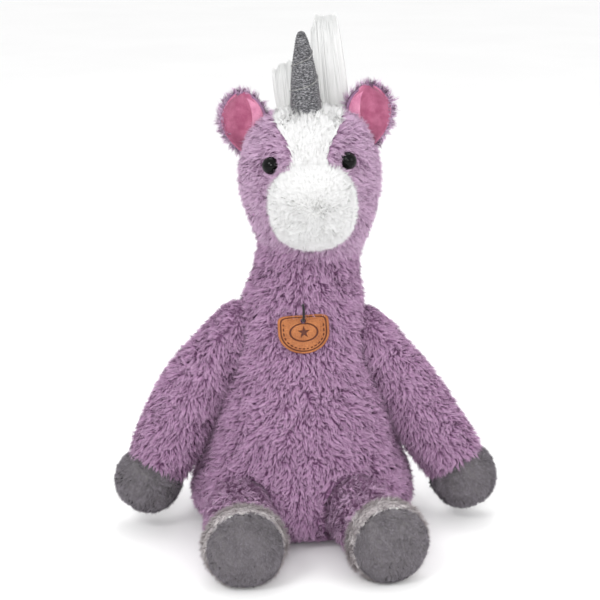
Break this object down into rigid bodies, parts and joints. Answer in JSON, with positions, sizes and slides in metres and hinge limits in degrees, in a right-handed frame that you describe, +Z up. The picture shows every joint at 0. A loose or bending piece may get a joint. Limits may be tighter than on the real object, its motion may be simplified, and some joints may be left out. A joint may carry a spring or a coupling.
{
  "type": "plush unicorn",
  "caption": "Seated plush unicorn with a stuffed pear-shaped body, bendable sewn limbs, head, ears and horn, a standing mane and a leather tag.",
  "frame": {"origin": "middle of the flat seat, on the surface that it sits on", "axes": "+Z up, -Y the way the toy faces, left pieces are at -X"},
  "size_m": [0.2416, 0.2173, 0.3174],
  "materials": {
    "purple_plush": "matte",
    "white_plush": "matte",
    "white_hair": "satin",
    "grey_plush": "matte",
    "pale_grey_plush": "matte",
    "pink_satin": "satin",
    "metallic_knit": "satin",
    "horn_thread": "satin",
    "eye_plastic": "gloss",
    "washer_plastic": "matte",
    "tan_leather": "satin",
    "black_cord": "matte",
    "label_ribbon": "satin",
    "pouch_cloth": "matte",
    "plastic_beans": "matte",
    "fibre_fill": "matte"
  },
  "bodies": {
    "torso": {"torso_front_panel": "purple_plush", "torso_back_panel": "purple_plush", "torso_stuffing": "fibre_fill", "bean_pouch": "pouch_cloth", "seat_beans": "plastic_beans", "care_label": "label_ribbon", "tag_cord": "black_cord"},
    "tag": {"leather_tag": "tan_leather"},
    "neck": {"neck_cover": "purple_plush", "neck_stuffing": "fibre_fill"},
    "head": {"head_side_left": "purple_plush", "head_side_right": "purple_plush", "face_blaze": "white_plush", "muzzle_cover": "white_plush", "head_stuffing": "fibre_fill", "eye_left": "eye_plastic", "eye_right": "eye_plastic", "eye_washer_left": "washer_plastic", "eye_washer_right": "washer_plastic", "mane": "white_hair"},
    "horn": {"horn_cover": "metallic_knit", "horn_stuffing": "fibre_fill", "horn_thread": "horn_thread"},
    "tail": {"tail_hair": "white_hair", "tail_binding": "purple_plush"},
    "ear_left": {"ear_back_left": "purple_plush", "ear_lining_left": "pink_satin"},
    "shoulder_left": {"shoulder_stuffing_left": "fibre_fill"},
    "arm_left": {"arm_cover_left": "purple_plush", "arm_stuffing_left": "fibre_fill", "hand_hoof_left": "grey_plush", "hand_stuffing_left": "fibre_fill"},
    "leg_left": {"leg_cover_left": "purple_plush", "leg_stuffing_left": "fibre_fill", "hoof_band_left": "pale_grey_plush", "sole_pad_left": "grey_plush", "foot_stuffing_left": "fibre_fill"},
    "ear_right": {"ear_back_right": "purple_plush", "ear_lining_right": "pink_satin"},
    "shoulder_right": {"shoulder_stuffing_right": "fibre_fill"},
    "arm_right": {"arm_cover_right": "purple_plush", "arm_stuffing_right": "fibre_fill", "hand_hoof_right": "grey_plush", "hand_stuffing_right": "fibre_fill"},
    "leg_right": {"leg_cover_right": "purple_plush", "leg_stuffing_right": "fibre_fill", "hoof_band_right": "pale_grey_plush", "sole_pad_right": "grey_plush", "foot_stuffing_right": "fibre_fill"}
  },
  "joints": [
    {"name": "neck_nod", "type": "hinge", "parent": "torso", "child": "neck", "pos_m": [0.0025, 0, 0.158], "axis": [1, 0, 0], "range_deg": [-20, 20], "stiffness_Nm_per_rad": 0.8},
    {"name": "head_turn", "type": "hinge", "parent": "neck", "child": "head", "pos_m": [0.0048, 0, 0.178], "axis": [0, 0, 1], "range_deg": [-30, 30], "stiffness_Nm_per_rad": 0.2},
    {"name": "arm_swing_left", "type": "hinge", "parent": "torso", "child": "shoulder_left", "pos_m": [-0.041, 0, 0.128], "axis": [-1, 0, 0], "range_deg": [-30, 80], "stiffness_Nm_per_rad": 0.15},
    {"name": "arm_raise_left", "type": "hinge", "parent": "shoulder_left", "child": "arm_left", "pos_m": [-0.041, 0, 0.128], "axis": [0, 1, 0], "range_deg": [0, 60], "stiffness_Nm_per_rad": 0.15},
    {"name": "leg_lift_left", "type": "hinge", "parent": "torso", "child": "leg_left", "pos_m": [-0.044, -0.06, 0.024], "axis": [-1, 0, 0], "range_deg": [0, 55], "stiffness_Nm_per_rad": 0.1},
    {"name": "ear_bend_left", "type": "hinge", "parent": "head", "child": "ear_left", "pos_m": [-0.03106, 0.00351, 0.24585], "axis": [0.585, -0.0409, 0.81], "range_deg": [-20, 20], "stiffness_Nm_per_rad": 0.01},
    {"name": "arm_swing_right", "type": "hinge", "parent": "torso", "child": "shoulder_right", "pos_m": [0.041, 0, 0.123], "axis": [-1, 0, 0], "range_deg": [-30, 80], "stiffness_Nm_per_rad": 0.15},
    {"name": "arm_raise_right", "type": "hinge", "parent": "shoulder_right", "child": "arm_right", "pos_m": [0.041, 0, 0.123], "axis": [0, -1, 0], "range_deg": [0, 60], "stiffness_Nm_per_rad": 0.15},
    {"name": "leg_lift_right", "type": "hinge", "parent": "torso", "child": "leg_right", "pos_m": [0.0285, -0.06, 0.024], "axis": [-1, 0, 0], "range_deg": [0, 55], "stiffness_Nm_per_rad": 0.1},
    {"name": "ear_bend_right", "type": "hinge", "parent": "head", "child": "ear_right", "pos_m": [0.03764, -0.00129, 0.25006], "axis": [0.6791, -0.0475, -0.7325], "range_deg": [-20, 20], "stiffness_Nm_per_rad": 0.01},
    {"name": "horn_lean", "type": "hinge", "parent": "head", "child": "horn", "pos_m": [0.00156, -0.0118, 0.26143], "axis": [0.9957, -0.0696, 0.061], "range_deg": [-12, 12], "stiffness_Nm_per_rad": 0.03},
    {"name": "tail_swing", "type": "hinge", "parent": "torso", "child": "tail", "pos_m": [0, 0.065, 0.04], "axis": [1, 0, 0], "range_deg": [0, 60]},
    {"name": "tag_swing", "type": "hinge", "parent": "torso", "child": "tag", "pos_m": [-0.0023, -0.0365, 0.138], "axis": [-1, 0, 0], "range_deg": [0, 25]}
  ]
}
